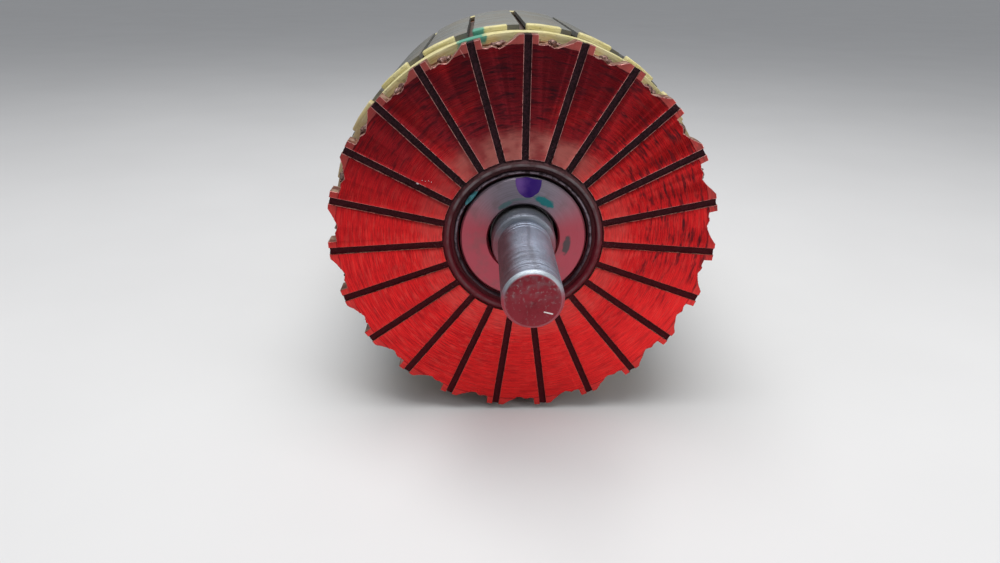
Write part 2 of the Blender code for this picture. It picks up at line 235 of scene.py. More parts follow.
def copperFaceFinish():
    paint = Finish("copperFace", copperLook, metallic=1.0)
    turn = paint.turn(seamAtTop=True)
    wobble = paint.noise(0.30, 2.0) * 0.9

    def arcs(across, along, layer, detail=3.0, roughness=0.6):  # noise drawn out round the shaft
        place = paint.joined(paint.radius * across + wobble, turn * along, layer)
        return paint.noise(1.0, detail, place, roughness)

    longStreak = arcs(1.6, 6.5, 0.0).between(0.50, 0.63)
    shortStreak = arcs(3.0, 11.0, 2.0).between(0.51, 0.64)
    fine = arcs(8.0, 6.0, 4.0, 4.0, 0.65)
    patch = (paint.noise(0.15, 2.0) + paint.z * 0.007 + paint.x * 0.003).between(0.40, 0.62)
    outside = paint.radius.between(14.4, 19.5)
    leaning = (paint.z + 0.55 * paint.x).between(-17.0, 14.0)
    film = (longStreak * 0.80 + shortStreak * 0.45 * leaning) * (0.26 + 0.74 * patch * leaning)
    film = (film * (0.15 + 0.85 * outside)).maths("MINIMUM", 1.0)
    paint.ground(fine.between(0.30, 0.70), "base")
    paint.lay(arcs(2.2, 8.0, 7.0).between(0.50, 0.64), "flush")
    # painted reflection of the floor: brighter towards the bottom
    lowest = 1.0 - (paint.z - 0.5 * paint.x).between(-24.5, -12.5)
    paint.lay(lowest, "low")
    paint.lay(patch * outside, "worn")
    topmost = paint.upward(0.42, 1.05, lean=0.15)
    crown = paint.upward(0.60, 0.98, lean=0.06)
    leftward = paint.upward(0.50, 0.90, lean=0.45)
    paint.lay(leftward * (1.0 - topmost), "shade")
    # painted shade over the top of the face
    paint.lay(topmost * (0.32 + 0.35 * patch), "paintedTopShade")
    cloud = 0.35 + 0.65 * paint.noise(0.35, 3.0).between(0.34, 0.58)
    start = copperLook["trackStart"]
    innerEdge = paint.radius + (paint.noise(0.5, 3.0) - 0.5) * 2.4
    inner = (1.0 - innerEdge.between(start + 0.2, start + 3.0)) * cloud * (0.20 + 0.80 * crown)
    paint.lay(inner, "inner")
    paint.lay(film, "film")
    end = copperLook["trackEnd"]
    ragged = paint.radius + (paint.noise(1.2, 3.0) - 0.5) * 0.35
    rim = ragged.between(end - 0.03, end + 0.06)
    paint.lay(ragged.between(end - 0.22, end - 0.05) * (1.0 - rim), "step")
    # the rim's paler copper is real; laying it stronger towards the top adds a painted highlight
    upper = paint.z.between(0.0, 13.0)
    paint.lay(rim * (0.20 + 0.35 * upper + 0.35 * crown), "rim")
    paint.lay(paint.streak(*copperLook["scratchEnds"], 0.03, 0.08), "scratch")
    soft = (inner * 0.16).maths("MAXIMUM", rim * (0.08 + 0.14 * upper))
    rub = paint.noise(1.0, 3.0, paint.joined(paint.radius * 16.0, turn * 9.0, 1.0))
    return paint.done(0.20 + 0.16 * fine + 0.14 * film + soft,
                      rub + 0.5 * fine - 0.6 * film, 0.35, 0.035)


def copperEdgeFinish():
    paint = Finish("copperEdge", copperLook, metallic=1.0)
    speck = paint.noise(1.7, 4.0)
    # paler towards the top: a painted highlight along the edges
    paint.ground(paint.z.between(-4.0, 16.0), "burrAndTopHighlight")
    paint.tone = paint.blend(speck.between(0.32, 0.52), copperLook["burrPit"], paint.tone)
    return paint.done(0.28 + 0.25 * speck, speck, 0.5, 0.06)


def copperSideFinish():
    paint = Finish("copperSide", copperLook, metallic=0.85)
    speck = paint.noise(1.6, 4.0)
    flux = paint.noise(0.9, 3.0).between(0.44, 0.62)
    paint.ground(speck.between(0.3, 0.7), "side")
    paint.lay(flux, "flux")
    return paint.done(0.42 + 0.3 * flux, speck, 0.6, 0.12)


resinLook = {
    "hub": ((0.046, 0.013, 0.015), (0.088, 0.028, 0.033)),
    "hubRedReflection": ((0.150, 0.004, 0.013), 0.72),
    "ridgeWearAndHighlight": ((0.200, 0.172, 0.178), 0.7),  # pale line on the hub's ridge: wear, stronger at the top as a painted highlight
    "ridge": (11.25, 11.40, 11.62, 11.80),  # radii where the ridge rises and falls
    "flash": ((0.022, 0.011, 0.015), (0.300, 0.240, 0.285)),
    "groove": ((0.010, 0.003, 0.0045), (0.034, 0.011, 0.016)),
    "grooveRedReflection": ((0.066, 0.001, 0.004), 0.8),
    "dust": ((0.14, 0.10, 0.10), 1.0),
}


def resinFinish():
    paint = Finish("darkResin", resinLook, specular=0.25)
    grain = paint.noise(2.4, 4.0)
    rings = paint.noise(1.0, 3.0, paint.joined(paint.radius * 9.0, paint.turn() * 2.0, 0.0))
    paint.ground(grain.between(0.35, 0.7), "hub")
    # painted red reflection on the lower half
    paint.lay(1.0 - paint.upward(-0.2, 0.75), "hubRedReflection")
    # the ridge's pale line is stronger towards the top: a painted highlight
    upper = 0.35 + 0.65 * paint.z.between(-2.0, 8.0)
    ridgeWearAndHighlight = paint.radius.within(*resinLook["ridge"]) * upper
    ridgeWearAndHighlight = ridgeWearAndHighlight * paint.noise(0.5, 3.0).between(0.3, 0.62)
    paint.lay(ridgeWearAndHighlight * (1.0 - paint.y.between(22.5, 22.9)), "ridgeWearAndHighlight")
    return paint.done(0.40 + 0.25 * grain, grain + rings, 0.4, 0.08)


def flashFinish():  # paler on its crest, most towards the top: a painted highlight
    paint = Finish("resinFlash", resinLook)
    speck = paint.noise(1.6, 3.0)
    crest = 1.0 - paint.y.between(22.95, 23.20)
    pale = crest * speck.between(0.36, 0.56) * (0.15 + 0.85 * paint.z.between(-7.0, 4.0))
    paint.ground(pale * 0.85, "flash")
    return paint.done(0.28 + 0.2 * speck, speck, 0.4, 0.06)


def grooveFinish():
    paint = Finish("grooveResin", resinLook, specular=0.1)
    grain = paint.noise(3.5, 4.0)
    dust = paint.noise(6.0, 2.0).between(0.60, 0.72)
    nearHub = 1.0 - paint.radius.between(12.8, 15.5)
    paint.ground(grain.between(0.3, 0.7), "groove")
    # painted red reflection towards the bottom
    paint.lay(1.0 - paint.upward(-0.3, 0.8), "grooveRedReflection")
    paint.lay((nearHub * 0.5 + 0.2) * dust, "dust")
    return paint.done(0.45 + 0.3 * grain, grain, 0.7, 0.12)


steelLook = {
    # the front's tones are blue, a painted reflection of the sky; the drive end behind the hub
    # keeps plain tones
    "base": ((0.20, 0.215, 0.255), (0.42, 0.475, 0.58)),
    "drive": ((0.23, 0.23, 0.235), (0.47, 0.475, 0.485)),  # behind the hub
    "ahead": ((0.42, 0.475, 0.58), 0.45),
    "stain": ((0.20, 0.13, 0.10), 0.15),
    "pit": ((0.05, 0.035, 0.03), 0.7),
    "flankRedReflection": ((0.190, 0.062, 0.068), 0.78),  # painted red reflection on the left flank
    "sheen": ((0.52, 0.62, 0.76), 0.45),  # painted sheen of the sky, right of the middle
    # painted dark reflection line down the middle
    "line": ((0.20, 0.215, 0.255), 0.40),
    "mark": ((0.13, 0.115, 0.115), 0.75),
    "shoulder": ((0.150, 0.158, 0.165), 0.50),
    "shoulderRedReflection": ((0.300, 0.045, 0.062), 0.70),
    "shoulderAt": (19.2, 19.6, 23.5, 24.0),
    "shadow": ((0.035, 0.025, 0.025), 1.0),  # in the gap inside the collar
    "gapRadii": (4.86, 4.95, 5.4, 5.6),
    # painted red reflection on the end face
    "end": ((0.290, 0.028, 0.040), 0.97),
    "chamferRedReflection": ((0.440, 0.045, 0.062), 0.92),
    "chamferSkyHighlight": ((0.54, 0.59, 0.62), 0.70),
    "scuff": ((0.235, 0.175, 0.190), 0.38),
    "fleck": ((0.42, 0.34, 0.35), 1.0),
    "nick": ((0.92, 0.90, 0.88), 0.95),
    "nickEnds": ((1.42, -1.48), (2.44, -1.74)),
}


def groundSteelFinish():
    paint = Finish("groundSteel", steelLook)
    around = paint.joined(paint.turn() * 0.8, paint.y * 11.0, paint.radius)
    rings = paint.noise(1.0, 4.0, around, 0.6)
    smear = paint.noise(0.55, 3.0)
    pits = paint.noise(7.0, 2.0).between(0.63, 0.72)
    grain = rings.between(0.3, 0.7)
    driveEnd = paint.blend(grain, *steelLook["drive"])
    paint.ground(grain, "base")
    paint.tone = paint.blend(paint.y.between(21.0, 24.0), paint.tone, driveEnd)
    # lighter and bluer along the stub: painted reflection of the sky
    paint.lay(paint.y.within(6.5, 11.0, 19.0, 22.0), "ahead")
    paint.lay(smear.between(0.55, 0.75), "stain")
    paint.lay(pits, "pit")
    # Painted reflections on the plain stub: red on the left flank, a bluish sheen right of the
    # middle and a thin dark line between them
    plain = paint.radius.between(3.6, 3.8) * paint.y.within(0.6, 0.9, 19.0, 20.0)
    plain = plain * paint.z.between(-1.5, 0.5)
    side = paint.x + (paint.noise(0.35, 2.0) - 0.5) * 1.2
    paint.lay(plain * (1.0 - side.between(-3.2, -1.3)), "flankRedReflection")
    paint.lay(plain * side.within(0.25, 0.9, 2.3, 3.3), "sheen")
    line = 1.0 - (side - 0.12).maths("ABSOLUTE").between(0.10, 0.32)
    paint.lay(plain * line, "line")
    marks = (1.0 - paint.radius.between(3.955, 3.992)) * paint.y.within(0.9, 1.2, 9.0, 11.0)
    paint.lay(marks * rings.between(0.30, 0.50), "mark")
    shoulder = paint.y.within(*steelLook["shoulderAt"])
    paint.lay(shoulder, "shoulder")
    # painted red reflection on the shoulder's lower side
    paint.lay(shoulder * (1.0 - paint.upward(0.0, 0.75)), "shoulderRedReflection")
    recess = paint.radius.within(*steelLook["gapRadii"]) * (1.0 - paint.y.between(30.0, 30.5))
    paint.lay(recess, "shadow")
    onEnd = 1.0 - paint.y.between(0.10, 0.30)
    # the end face is painted dark red as a reflection
    paint.lay(onEnd, "end")
    chamfer = (1.0 - paint.y.between(0.62, 0.70)) * (1.0 - onEnd)
    # painted reflections on the chamfer: red below, pale above
    paint.lay(chamfer * (1.0 - paint.z.between(-0.4, 2.4)), "chamferRedReflection")
    paint.lay(chamfer * paint.z.between(0.4, 2.6), "chamferSkyHighlight")
    scuffed = paint.noise(1.1, 4.0).between(0.42, 0.62) * paint.z.between(-1.5, 2.5)
    paint.lay(scuffed * onEnd, "scuff")
    flecks = paint.noise(2.2, 3.0).between(0.58, 0.66) * onEnd
    paint.lay(flecks * (0.12 + 0.26 * paint.z.between(-2.0, 2.2)), "fleck")
    paint.lay(paint.streak(*steelLook["nickEnds"], 0.04, 0.13) * onEnd, "nick")
    return paint.done(0.44 + 0.18 * rings + 0.12 * smear.between(0.5, 0.75),
                      rings - pits, 0.7, 0.07, Metallic=1.0 - 0.25 * recess)


collarLook = {
    "base": ((0.235, 0.200, 0.235), (0.330, 0.290, 0.340)),
    "collarRedReflection": ((0.500, 0.052, 0.078), 0.82),
    "stain": ((0.17, 0.12, 0.12), 0.35),
    "dabs": (  # paint: angle, radius, half width, half height, colour and amount
        (28.0, 6.60, 1.80, 0.66, (0.000, 0.170, 0.180), 1.0),
        (-28.0, 6.00, 1.35, 0.42, (0.015, 0.130, 0.130), 0.7),
        (-6.0, 6.25, 1.80, 0.22, (0.050, 0.150, 0.140), 0.5),
        (99.0, 6.75, 1.65, 0.60, (0.030, 0.055, 0.058), 0.85)),
}


def collarFinish():
    paint = Finish("collarSteel", collarLook)
    turned = paint.noise(1.0, 4.0, paint.joined(paint.radius * 8.0, paint.turn() * 1.5, 0.0), 0.6)
    paint.ground(turned.between(0.2, 0.8), "base")
    # painted red reflection towards the bottom
    paint.lay(1.0 - paint.upward(0.15, 0.98), "collarRedReflection")
    paint.lay(paint.noise(0.5, 3.0).between(0.45, 0.7), "stain")
    front = 1.0 - paint.y.between(22.9, 23.1)
    ragged = (paint.noise(1.8, 3.0) - 0.5) * 1.5
    painted = None
    for angle, radius, width, height, colour, amount in collarLook["dabs"]:
        lean = math.radians(angle)
        dx = paint.x - radius * math.sin(lean)
        dz = paint.z - radius * math.cos(lean)
        along = (dx * math.cos(lean) - dz * math.sin(lean)) / width
        out = (dx * math.sin(lean) + dz * math.cos(lean)) / height
        away = (along * along + out * out).maths("SQRT") + ragged * 0.55
        mask = (1.0 - away.between(0.70, 1.10)) * front * amount
        paint.tone = paint.blend(mask, paint.tone, colour)
        painted = mask if painted is None else painted.maths("MAXIMUM", mask)
    return paint.done(0.30 + 0.2 * turned + 0.15 * painted, turned + painted, 0.22, 0.05,
                      Metallic=0.9 - 0.85 * painted)


creamLook = {
    "base": ((0.52, 0.450, 0.170), (0.72, 0.655, 0.330)),
    "cloud": ((0.64, 0.59, 0.37), 0.5),
    "dirt": ((0.10, 0.075, 0.045), 0.45),
    "recessShade": ((0.055, 0.032, 0.020), 0.9),
    "paintedShadeBelow": ((0.330, 0.190, 0.130), 0.66),
    "teal": ((0.020, 0.270, 0.200), 0.9),
    "tealAngle": -15.6,
    "tealHalfWidth": 4.6,  # degrees
}


def creamFinish(name, painted):
    paint = Finish(name, creamLook)
    turn = paint.turn()
    fibres = paint.noise(1.0, 4.0, paint.joined(turn * 9.0, paint.y * 5.0, paint.radius * 5.0), 0.6)
    cloud = paint.noise(0.45, 3.0)
    paint.ground(fibres.between(0.3, 0.7), "base")
    paint.lay(cloud.between(0.35, 0.7), "cloud")
    paint.lay(paint.noise(1.5, 4.0).between(0.56, 0.74), "dirt")
    if painted:  # a dab of green paint over the band and the comb's fingers, left of the top
        # painted shade: browner towards the bottom
        paint.lay(1.0 - paint.z.between(11.0, 23.5), "paintedShadeBelow")
        away = (turn - math.radians(creamLook["tealAngle"])) * (180.0 / math.pi)
        away = (away / creamLook["tealHalfWidth"]).maths("ABSOLUTE")
        edge = (paint.noise(1.1, 3.0) - 0.5) * 0.9
        dab = (1.0 - (away + edge).between(0.75, 1.0)) * paint.radius.between(28.0, 28.8)
        paint.lay(dab, "teal")
    else:  # painted shade deep in the rear pieces, where they meet the core and the coils and between the fingers
        deepIn = 1.0 - paint.radius.between(28.9, 29.3)
        atCore = 1.0 - paint.y.between(79.45, 79.75)
        offSlot = (turn / pitch).maths("WRAP", 0.5, -0.5).maths("ABSOLUTE") * pitch
        inGap = 1.0 - (offSlot * paint.radius).between(2.55, 2.75)
        inGap = inGap * (1.0 - paint.y.between(82.3, 82.6))
        paint.lay(deepIn.maths("MAXIMUM", atCore).maths("MAXIMUM", inGap), "recessShade")
    return paint.done(0.42 + 0.3 * fibres, fibres + cloud, 0.5, 0.10)


ironLook = {
    "base": ((0.17, 0.175, 0.165), (0.36, 0.365, 0.345)),
    "cloud": ((0.24, 0.20, 0.15), 0.4),
    "speck": ((0.09, 0.06, 0.04), 0.35),
}


def coreFinish():
    paint = Finish("coreIron", ironLook, metallic=0.75)
    sheets = paint.noise(1.0, 3.0, paint.joined(paint.turn() * 0.6, paint.y * 2.0, 0.0), 0.7)
    cloud = paint.noise(0.22, 4.0)
    specks = paint.noise(3.0, 3.0).between(0.60, 0.72)
    paint.ground(sheets.between(0.3, 0.7), "base")
    paint.lay(cloud.between(0.4, 0.65), "cloud")
    paint.lay(specks, "speck")
    return paint.done(0.42 + 0.25 * cloud, sheets + 0.5 * specks, 0.4, 0.06)


coilLook = {
    "base": ((0.36, 0.130, 0.062), (0.50, 0.215, 0.11)),
    "drip": ((0.12, 0.040, 0.018), 0.5),
    "coat": 0.6,
    "rounding": 0.42,  # of the bars' edges
}


def coilFinish():
    paint = Finish("varnishedCopper", coilLook, metallic=0.9, coat=coilLook["coat"])
    cloud = paint.noise(0.30, 4.0)
    drips = paint.noise(1.3, 3.0)
    paint.ground(cloud.between(0.35, 0.65), "base")
    paint.lay(drips.between(0.52, 0.72), "drip")
    return paint.done(0.30 + 0.25 * drips, drips + cloud, 0.4, 0.15)


# Tones of the small trim
trimLook = {
    "weld": ((0.13, 0.058, 0.046), (0.37, 0.24, 0.205)),
    "weldPore": ((0.030, 0.020, 0.018), 0.9),
    "liner": ((0.085, 0.058, 0.048), (0.165, 0.120, 0.100)),
    "linerSoaked": ((0.045, 0.024, 0.018), 0.7),
    "gear": ((0.19, 0.185, 0.18), (0.38, 0.37, 0.36)),
    "chip": ((0.62, 0.56, 0.58), (0.95, 0.92, 0.93)),
    "purple": ((0.030, 0.001, 0.160), (0.160, 0.070, 0.310)),
    "teal": ((0.015, 0.130, 0.150), (0.075, 0.300, 0.340)),
}


def weldFinish():
    paint = Finish("weldMetal", trimLook, metallic=0.7)
    lumps = paint.noise(2.6, 4.0)
    pores = paint.noise(5.0, 2.0).between(0.58, 0.68)
    paint.ground(lumps.between(0.35, 0.65), "weld")
    paint.lay(pores, "weldPore")
    return paint.done(0.42 + 0.3 * lumps, lumps - pores, 0.8, 0.15)


def linerFinish():
    paint = Finish("slotPaper", trimLook)
    fibres = paint.noise(2.0, 4.0)
    paint.ground(fibres.between(0.3, 0.7), "liner")
    paint.lay(paint.noise(0.6, 3.0).between(0.42, 0.62), "linerSoaked")
    return paint.done(0.5 + 0.3 * fibres, fibres, 0.5, 0.08)


def gearFinish():
    paint = Finish("gearSteel", trimLook, metallic=1.0)
    cloud = paint.noise(0.6, 4.0)
    mill = paint.noise(1.0, 3.0, paint.joined(paint.x * 2.0, paint.y * 9.0, paint.z * 2.0))
    paint.ground(cloud.between(0.3, 0.7), "gear")
    return paint.done(0.26 + 0.2 * cloud, mill, 0.3, 0.05)


def chipFinish():
    paint = Finish("brightChip", trimLook, metallic=0.5)
    speck = paint.noise(5.0, 3.0)
    paint.ground(speck.between(0.35, 0.65), "chip")
    return paint.done(0.22 + 0.2 * speck, speck, 0.4, 0.05)


def purpleFinish():  # paler on the left: a painted highlight
    paint = Finish("purplePaint", trimLook, coat=0.08, specular=0.2)
    cloud = paint.noise(0.8, 3.0)
    paleHighlightLeft = 1.0 - paint.x.between(-1.4, 1.7)
    paint.ground((paleHighlightLeft * 0.85 + (cloud - 0.5) * 0.9).between(0.10, 0.95), "purple")
    return paint.done(0.30 + 0.2 * cloud, cloud, 0.3, 0.08)


def tealFinish():
    paint = Finish("tealPaint", trimLook, coat=0.1)
    cloud = paint.noise(1.2, 3.0)
    paint.ground(cloud.between(0.35, 0.65), "teal")
    return paint.done(0.4 + 0.2 * cloud)


finishes = {
    "copperFace": copperFaceFinish(),
    "copperEdge": copperEdgeFinish(),
    "copperSide": copperSideFinish(),
    "resin": resinFinish(),
    "flash": flashFinish(),
    "groove": grooveFinish(),
    "steel": groundSteelFinish(),
    "collar": collarFinish(),
    "cream": creamFinish("creamInsulation", False),
    "creamPainted": creamFinish("creamInsulationPainted", True),
    "core": coreFinish(),
    "coil": coilFinish(),
    "weld": weldFinish(),
    "liner": linerFinish(),
    "gear": gearFinish(),
    "chip": chipFinish(),
    "purple": purpleFinish(),
    "teal": tealFinish(),
}
print("finishes ready:", len(finishes))


# Shared shaping
def stretch(shape, factors):
    bmesh.ops.scale(shape, vec=factors, verts=shape.verts)


def move(shape, offset):
    bmesh.ops.translate(shape, vec=offset, verts=shape.verts)


def turnOutwards(shape):
    bmesh.ops.recalc_face_normals(shape, faces=shape.faces)


def cadCopy(node):  # a merged copy of a node, in millimetres, with flat faces joined up
    shape = bmesh.new()
    shape.from_mesh(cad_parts[node].data)
    stretch(shape, (1 / mm, 1 / mm, 1 / mm))
    bmesh.ops.remove_doubles(shape, verts=shape.verts, dist=0.001)
    bmesh.ops.dissolve_limit(shape, angle_limit=math.radians(0.6), verts=shape.verts,
                             edges=shape.edges)
    return shape


def turned(profile, steps, closed=True):  # (radius, y) points spun round the shaft's axis
    shape = bmesh.new()
    points = [shape.verts.new((radius, y, 0)) for radius, y in profile]
    edges = [shape.edges.new(pair) for pair in zip(points, points[1:])]
    if closed:
        edges.append(shape.edges.new((points[-1], points[0])))
    bmesh.ops.spin(shape, geom=points + edges, axis=(0, 1, 0), cent=(0, 0, 0), dvec=(0, 0, 0),
                   angle=2 * math.pi, steps=steps, use_merge=True, use_duplicate=False)
    bmesh.ops.remove_doubles(shape, verts=shape.verts, dist=0.0005)
    turnOutwards(shape)
    return shape


def reachOf(vert):  # distance from the shaft's axis
    return math.hypot(vert.co.x, vert.co.z)


def reaches(edge):
    return [reachOf(vert) for vert in edge.verts]


def run(edge, axis):  # how far an edge goes along x, y or z
    start, end = [getattr(vert.co, axis) for vert in edge.verts]
    return abs(start - end)


def spread(vert, factor):
    vert.co.x *= factor
    vert.co.z *= factor


def setReach(vert, reach):
    spread(vert, reach / reachOf(vert))


def pushOut(vert, push):
    spread(vert, 1 + push / reachOf(vert))


def onRay(angle, radius, y):
    return Vector((radius * math.sin(angle), y, radius * math.cos(angle)))


def ringNoise(angle, size, layer):  # noise that closes on itself round the shaft
    return noise.noise(Vector((math.sin(angle) * size, math.cos(angle) * size, layer)))


def roughen(shape, amount, size, seed=0.0):
    for vert in shape.verts:
        vert.co += noise.noise_vector(vert.co / size + Vector((seed, seed * 0.7, 0))) * amount


def softenEdges(shape, width, segments, sharper, material=-1, chosen=None):
    edges = [edge for edge in shape.edges if edge.is_manifold
             and edge.calc_face_angle(0) > math.radians(sharper)
             and (chosen is None or chosen(edge))]
    bmesh.ops.bevel(shape, geom=edges, offset=width, offset_type="OFFSET", segments=segments,
                    profile=0.5, affect="EDGES", material=material, clamp_overlap=True)


def aroundShaft(shape, steps):  # turns by a number of slots
    spun = Matrix.Rotation(pitch * steps, 4, "Y")
    bmesh.ops.transform(shape, matrix=spun, verts=shape.verts)


def addShape(target, source):  # copies one bmesh into another, and frees it
    mesh = bpy.data.meshes.new("part")
    source.to_mesh(mesh)
    source.free()
    target.from_mesh(mesh)
    bpy.data.meshes.remove(mesh)


def finishPiece(name, shape, looks, replaced=(), smooth=38):
    stretch(shape, (mm, mm, mm))
    mesh = bpy.data.meshes.new(name)
    for face in shape.faces:
        face.smooth = True
    shape.to_mesh(mesh)
    shape.free()
    mesh.set_sharp_from_angle(angle=math.radians(smooth))
    for look in looks:
        mesh.materials.append(finishes[look])
    piece = bpy.data.objects.new(name, mesh)
    bpy.context.scene.collection.objects.link(piece)
    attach(piece, "root")
    if replaced:
        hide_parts(*replaced)
    return piece


# Shaft: profiles are (radius, y) points
shaftLook = {
    "sides": 128,
    "radius": 4.0,  # of the plain end
    "markStart": 1.4,  # turning marks near the tip
    "markEnd": 9.2,
    "markStep": 0.40,
    "markDepth": 0.055,
    "markHalf": 0.11,
    "markFloorHalf": 0.04,
    "tip": [(0, 0.10), (0.38, 0.06), (0.52, 0), (2.2, 0.0), (3.34, 0.0), (3.42, 0.03),
            (3.95, 0.56), (4.0, 0.68)],
    "rest": [(4.0, 17.05), (3.95, 17.1), (3.95, 17.22), (4.0, 17.27), (4.0, 18.1),
             (3.93, 18.16), (3.93, 18.3), (4.0, 18.36), (4.0, 18.98), (3.8, 19.18),
             (3.8, 19.66), (4.12, 19.72), (4.42, 19.80), (4.66, 19.98), (4.79, 20.24),
             (4.83, 20.5), (4.83, 25.0), (5.06, 25.02), (5.06, 29.6), (6.0, 29.62),
             (6.0, 79.28), (7.15, 79.3), (7.4, 79.5), (7.4, 86.75), (6.95, 87.25),
             (6.9, 87.3), (6.15, 87.3), (5.9, 87.5), (5.9, 88.3), (6.0, 88.42),
             (6.0, 102.6), (5.75, 103.25), (5.65, 103.3), (4.9, 103.3), (4.6, 103.6),
             (4.6, 117.3), (4.2, 117.4), (4.0, 117.7), (4.0, 123.7), (3.5, 124.25),
             (3.42, 124.3), (0.9, 124.3), (0, 123.4)],
}


def buildShaft():
    draw = random.Random(5)
    radius = shaftLook["radius"]
    half, floorHalf = shaftLook["markHalf"], shaftLook["markFloorHalf"]
    profile = shaftLook["tip"][:]
    y = shaftLook["markStart"]
    while y < shaftLook["markEnd"]:
        fade = 1.0 - 0.6 * (y - shaftLook["markStart"]) / shaftLook["markEnd"]
        depth = shaftLook["markDepth"] * fade * draw.uniform(0.4, 1.0)
        profile += [(radius, y - half), (radius - depth, y - floorHalf),
                    (radius - depth, y + floorHalf), (radius, y + half)]
        y += shaftLook["markStep"] * draw.uniform(0.75, 1.3)
    profile += shaftLook["rest"]
    shape = turned(profile, shaftLook["sides"], closed=False)
    finishPiece("shaftTurned", shape, ["steel"], ["shaft"], smooth=26)


gearLook = {"start": 105.34, "end": 117.26, "rounding": 0.22}


def buildGear():  # the toothed length, cut from the shaft's node
    shape = cadCopy("shaft")
    for at, clearOuter in ((gearLook["start"], False), (gearLook["end"], True)):
        bmesh.ops.bisect_plane(shape, geom=shape.verts[:] + shape.edges[:] + shape.faces[:],
                               plane_co=(0, at, 0), plane_no=(0, 1, 0), dist=0.001,
                               clear_outer=clearOuter, clear_inner=not clearOuter)
    rims = [edge for edge in shape.edges if edge.is_boundary]
    bmesh.ops.holes_fill(shape, edges=rims, sides=0)
    turnOutwards(shape)
    softenEdges(shape, gearLook["rounding"], 2, 60, chosen=lambda edge: run(edge, "y") < 0.01)
    finishPiece("sunGear", shape, ["gear"], smooth=30)


# Front collar with its paint
collarProfile = [(5.36, 23.1), (5.62, 22.8), (9.35, 22.8), (9.6, 23.05), (9.6, 29.3),
                 (5.36, 29.3)]


def buildCollar():
    shape = turned(collarProfile, 128)
    finishPiece("collarTurned", shape, ["collar"], ["front_collar"])


paintDrop = {
    "size": (1.98, 0.22, 2.75),
    "place": (0.62, 22.82, 9.15),
    "reach": 9.52,  # just inside the collar's edge
    "lumps": 0.10,
}


def buildPaintDrop():  # purple paint that ran down from the collar's edge
    shape = bmesh.new()
    bmesh.ops.create_uvsphere(shape, u_segments=36, v_segments=18, radius=1.0)
    stretch(shape, paintDrop["size"])
    move(shape, paintDrop["place"])
    for vert in shape.verts:
        if reachOf(vert) > paintDrop["reach"]:
            setReach(vert, paintDrop["reach"])
    roughen(shape, paintDrop["lumps"], 1.1)
    finishPiece("purplePaintDrop", shape, ["purple"], smooth=80)


tealStreak = {
    "size": (1.45, 0.30, 0.32),
    "angle": -50.5,
    "bend": 10.2,  # radius that it is bent to
    "radius": 10.18,
    "depth": 22.86,
    "lumps": 0.08,
}


def buildTealStreak():  # teal paint in the moulding's channel
    shape = bmesh.new()
    bmesh.ops.create_uvsphere(shape, u_segments=24, v_segments=12, radius=1.0)
    stretch(shape, tealStreak["size"])
    for vert in shape.verts:
        angle = math.radians(tealStreak["angle"]) + vert.co.x / tealStreak["bend"]
        vert.co = onRay(angle, tealStreak["radius"] + vert.co.z, tealStreak["depth"] + vert.co.y)
    turnOutwards(shape)
    roughen(shape, tealStreak["lumps"], 0.8)
    finishPiece("tealPaintStreak", shape, ["teal"], smooth=80)


# Moulded hub, and the resin in the grooves between the bars
hubLook = {
    "sides": 160,
    "ripple": 0.035,
    "rippleSize": 1.6,
    "profile": [(11.2, 22.55), (11.28, 22.40), (11.38, 22.35), (11.60, 22.35), (11.76, 22.42),
                (11.96, 22.60), (12.14, 22.76), (12.28, 22.84), (12.28, 25.88), (12.36, 26.0),
                (19.95, 26.0), (20.0, 26.1), (20.0, 28.9), (19.9, 29.0),
                (9.9, 29.0), (9.9, 23.45), (10.0, 23.38), (10.9, 23.38), (11.05, 23.3)],
}
grooveLook = {
    "width": 1.04,
    "depth": 2.7,
    "front": 0.26,  # how far the resin lies behind the brush face
    "start": 11.9,
    "end": 29.5,
    "lumps": 0.16,
    "fall": 0.05,  # towards its sides
    "endLumps": 0.12,
}


def buildHub():
    shape = turned(hubLook["profile"], hubLook["sides"])
    roughen(shape, hubLook["ripple"], hubLook["rippleSize"])
    ribs = bmesh.new()
    for number in range(layout["slots"]):
        addShape(ribs, grooveRib(number))
    for face in ribs.faces:
        face.material_index = 1
    addShape(shape, ribs)
    finishPiece("commutatorMoulding", shape, ["resin", "groove"],
                ["commutator_moulding"], smooth=50)


def grooveRib(number):
    length = grooveLook["end"] - grooveLook["start"]
    shape = bmesh.new()
    bmesh.ops.create_cube(shape, size=1.0)
    stretch(shape, (grooveLook["width"], grooveLook["depth"], length))
    middle = grooveLook["start"] + length / 2
    depth = layout["faceAt"] + grooveLook["front"] + grooveLook["depth"] / 2
    move(shape, (0, depth, middle))
    lengthwise = [edge for edge in shape.edges if run(edge, "z") > length / 2]
    bmesh.ops.subdivide_edges(shape, edges=lengthwise, cuts=40, use_grid_fill=True)
    crosswise = [edge for edge in shape.edges
                 if run(edge, "x") > 0.5 and edge.verts[0].co.y < depth]
    bmesh.ops.subdivide_edges(shape, edges=crosswise, cuts=3, use_grid_fill=True)
    for vert in shape.verts:
        if vert.co.y < depth:
            lump = noise.noise(Vector((vert.co.x * 1.2, number * 3.1, vert.co.z * 0.9)))
            vert.co.y += grooveLook["lumps"] * lump - grooveLook["fall"] * abs(vert.co.x)
        if vert.co.z > grooveLook["end"] - 0.01:
            lump = noise.noise(Vector((vert.co.x * 2, number * 1.7, vert.co.y)))
            vert.co.z += grooveLook["endLumps"] * lump
    aroundShaft(shape, number)
    return shape


# The chip and its crumbs: angle, radius, size, depth
chipBits = [(-60.9, 17.94, 0.30, 22.70), (-58.6, 17.60, 0.07, 22.46), (-58.1, 17.18, 0.07, 22.46),
            (-57.6, 16.76, 0.07, 22.46), (-57.1, 16.34, 0.07, 22.46)]


